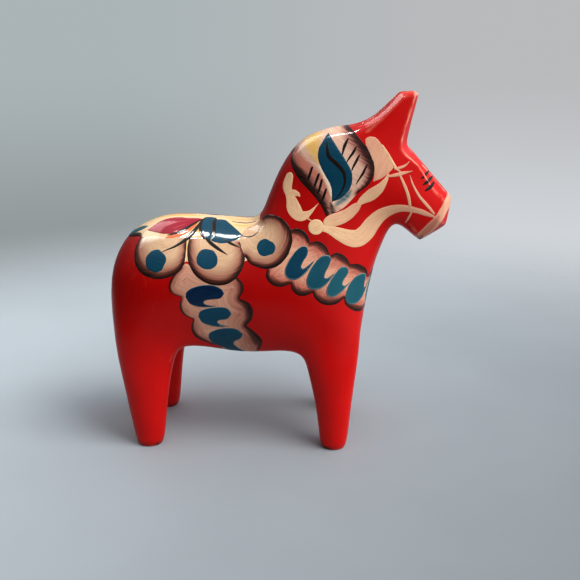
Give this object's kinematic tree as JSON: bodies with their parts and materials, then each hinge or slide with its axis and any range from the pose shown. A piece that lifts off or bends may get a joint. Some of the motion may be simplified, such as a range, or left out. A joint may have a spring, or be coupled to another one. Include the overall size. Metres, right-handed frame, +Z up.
{
  "type": "painted wooden folk horse figure",
  "caption": "Small carved horse figure standing on short legs, lacquered red, with a brush-painted saddle, girth, breast band, mane and bridle.",
  "frame": {"origin": "on the floor at the middle of the overall length, in the horse's middle plane", "axes": "+X towards the muzzle, +Y to the horse's left, +Z up"},
  "size_m": [0.1277, 0.0462, 0.1302],
  "materials": {
    "red_enamel": "carved pine under gloss red enamel and clear varnish",
    "cream_paint": "brushed cream to pink oil paint with dark rims, varnished",
    "blue_paint": "brushed blue-green oil paint, varnished",
    "crimson_paint": "brushed crimson oil paint, varnished"
  },
  "bodies": {
    "root": {"breast_band": "cream_paint", "breast_scroll_left": "blue_paint", "breast_scroll_right": "blue_paint", "bridle_leaf_left": "cream_paint", "bridle_leaf_right": "cream_paint", "carved_horse": "red_enamel", "cheek_strap_left": "cream_paint", "cheek_strap_right": "cream_paint", "crimson_leaf_left": "crimson_paint", "crimson_leaf_right": "crimson_paint", "forelock_leaf_left": "cream_paint", "forelock_leaf_right": "cream_paint", "girth_band_left": "cream_paint", "girth_band_right": "cream_paint", "girth_scroll_left": "blue_paint", "girth_scroll_right": "blue_paint", "jaw_strap_left": "cream_paint", "jaw_strap_right": "cream_paint", "mane_leaf_left": "blue_paint", "mane_leaf_right": "blue_paint", "mane_lock_left": "cream_paint", "mane_lock_right": "cream_paint", "mane_panel": "cream_paint", "middle_petal_dot_left": "blue_paint", "middle_petal_dot_right": "blue_paint", "noseband": "cream_paint", "rear_petal_dot_left": "blue_paint", "rear_petal_dot_right": "blue_paint", "rein_ribbon_left": "cream_paint", "rein_ribbon_right": "cream_paint", "saddle_cloth": "cream_paint", "saddle_leaf_left": "blue_paint", "saddle_leaf_right": "blue_paint", "withers_petal_dot_left": "blue_paint", "withers_petal_dot_right": "blue_paint", "withers_petal_left": "cream_paint", "withers_petal_right": "cream_paint"}
  },
  "joints": []
}
